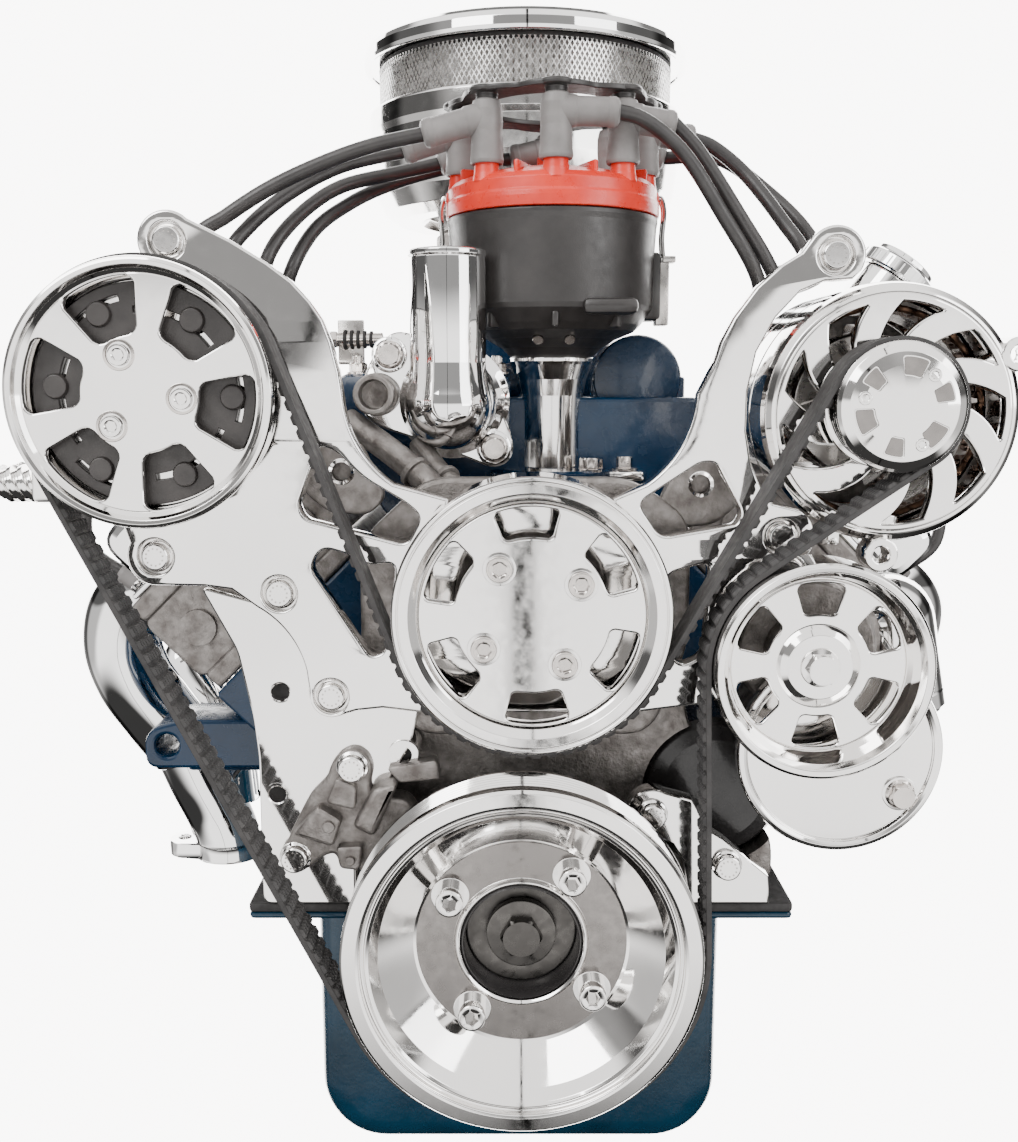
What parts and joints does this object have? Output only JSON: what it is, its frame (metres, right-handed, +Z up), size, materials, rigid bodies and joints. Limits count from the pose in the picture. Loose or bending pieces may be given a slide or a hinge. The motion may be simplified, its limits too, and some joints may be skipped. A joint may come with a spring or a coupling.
{
  "type": "v8 engine with accessory drive",
  "caption": "Dressed carburetted V8 engine with a polished serpentine accessory drive, red-cap distributor and chrome air cleaner.",
  "frame": {"origin": "centre of the flat sole of the oil pan, on the crankshaft's centre plane and halfway along the block", "axes": "+Z up, -Y towards the front pulleys, +X to the alternator side"},
  "size_m": [0.6471, 0.704, 0.812],
  "materials": {
    "polished_aluminium": "mirror polished",
    "chrome": "bright plated",
    "cast_aluminium": "as cast",
    "steel": "machined",
    "blue_enamel": "gloss engine enamel",
    "black_enamel": "satin",
    "black_plastic": "fine grained",
    "red_plastic": "moulded",
    "belt_rubber": "matt",
    "lead_silicone": "satin",
    "filter_gauze": "pleated under wire gauze",
    "copper_winding": "varnished wire",
    "cork_rubber": "matt"
  },
  "bodies": {
    "engine": {"engine_block": "blue_enamel", "oil_pan": "blue_enamel", "oil_pan_gasket": "cork_rubber", "timing_cover": "cast_aluminium", "timing_chain": "steel", "cylinder_head_left": "cast_aluminium", "valve_cover_left": "chrome", "cylinder_head_right": "cast_aluminium", "valve_cover_right": "chrome", "intake_manifold": "blue_enamel", "carburetor": "cast_aluminium", "air_cleaner_base": "chrome", "air_filter_element": "filter_gauze", "air_cleaner_lid": "chrome", "air_cleaner_nut": "chrome", "distributor_housing": "black_plastic", "distributor_cap": "red_plastic", "ignition_lead_1": "lead_silicone", "ignition_lead_2": "lead_silicone", "ignition_lead_3": "lead_silicone", "ignition_lead_4": "lead_silicone", "ignition_lead_5": "lead_silicone", "ignition_lead_6": "lead_silicone", "ignition_lead_7": "lead_silicone", "ignition_lead_8": "lead_silicone", "water_pump_housing": "cast_aluminium", "thermostat_housing": "chrome", "front_bracket_plate": "polished_aluminium", "lower_left_bracket": "polished_aluminium", "lower_right_bracket": "polished_aluminium", "ac_compressor": "polished_aluminium", "alternator_housing": "polished_aluminium", "alternator_stator": "copper_winding", "power_steering_pump": "cast_aluminium", "power_steering_cover": "polished_aluminium", "power_steering_reservoir": "chrome", "exhaust_header_left": "chrome", "exhaust_header_right": "chrome", "oil_filter": "black_enamel", "oil_filler_neck": "chrome", "serpentine_belt": "belt_rubber"},
    "crank": {"crankshaft": "steel", "crank_sprocket": "steel", "crank_bolt": "steel", "harmonic_damper": "cast_aluminium", "crank_pulley": "polished_aluminium", "flexplate": "steel"},
    "cam": {"camshaft": "steel", "cam_sprocket": "steel"},
    "water_pump_wheel": {"water_pump_impeller": "steel", "water_pump_pulley": "polished_aluminium"},
    "compressor_wheel": {"ac_pulley": "black_enamel", "ac_clutch_cover": "polished_aluminium"},
    "alternator_wheel": {"alternator_rotor": "steel", "alternator_pulley": "polished_aluminium"},
    "steering_wheel": {"power_steering_shaft": "steel", "power_steering_pulley": "polished_aluminium"},
    "distributor_shaft": {"distributor_rotor": "black_plastic"},
    "throttle": {"throttle_shaft": "steel"},
    "filler_cap": {"oil_filler_cap": "chrome"}
  },
  "joints": [
    {"name": "crank_spin", "type": "hinge", "parent": "engine", "child": "crank", "pos_m": [0, 0, 0.2275], "axis": [0, 1, 0], "continuous": true},
    {"name": "cam_spin", "type": "hinge", "parent": "engine", "child": "cam", "pos_m": [0, 0, 0.346], "axis": [0, 1, 0], "continuous": true},
    {"name": "water_pump_spin", "type": "hinge", "parent": "engine", "child": "water_pump_wheel", "pos_m": [0.0048, 0, 0.4102], "axis": [0, 1, 0], "continuous": true},
    {"name": "compressor_spin", "type": "hinge", "parent": "engine", "child": "compressor_wheel", "pos_m": [-0.184, 0, 0.519], "axis": [0, 1, 0], "continuous": true},
    {"name": "alternator_spin", "type": "hinge", "parent": "engine", "child": "alternator_wheel", "pos_m": [0.183, 0, 0.513], "axis": [0, 1, 0], "continuous": true},
    {"name": "steering_pump_spin", "type": "hinge", "parent": "engine", "child": "steering_wheel", "pos_m": [0.1504, 0, 0.3826], "axis": [0, 1, 0], "continuous": true},
    {"name": "distributor_spin", "type": "hinge", "parent": "engine", "child": "distributor_shaft", "pos_m": [0.02, -0.24, 0.5], "axis": [0, 0, 1], "continuous": true},
    {"name": "throttle_turn", "type": "hinge", "parent": "engine", "child": "throttle", "pos_m": [0, 0.025, 0.575], "axis": [1, 0, 0], "range_deg": [0, 78], "stiffness_Nm_per_rad": 0.05},
    {"name": "filler_cap_twist", "type": "hinge", "parent": "engine", "child": "filler_cap", "pos_m": [0.288, -0.095, 0.614], "axis": [0.5989, 0, 0.8009], "range_deg": [0, 90]}
  ],
  "couplings": [
    {"joint": "cam_spin", "follows": "crank_spin", "ratio": 0.5},
    {"joint": "distributor_spin", "follows": "crank_spin", "ratio": 0.5},
    {"joint": "water_pump_spin", "follows": "crank_spin", "ratio": -1.341},
    {"joint": "compressor_spin", "follows": "crank_spin", "ratio": 1.512},
    {"joint": "alternator_spin", "follows": "crank_spin", "ratio": 3.073},
    {"joint": "steering_pump_spin", "follows": "crank_spin", "ratio": -1.686}
  ]
}
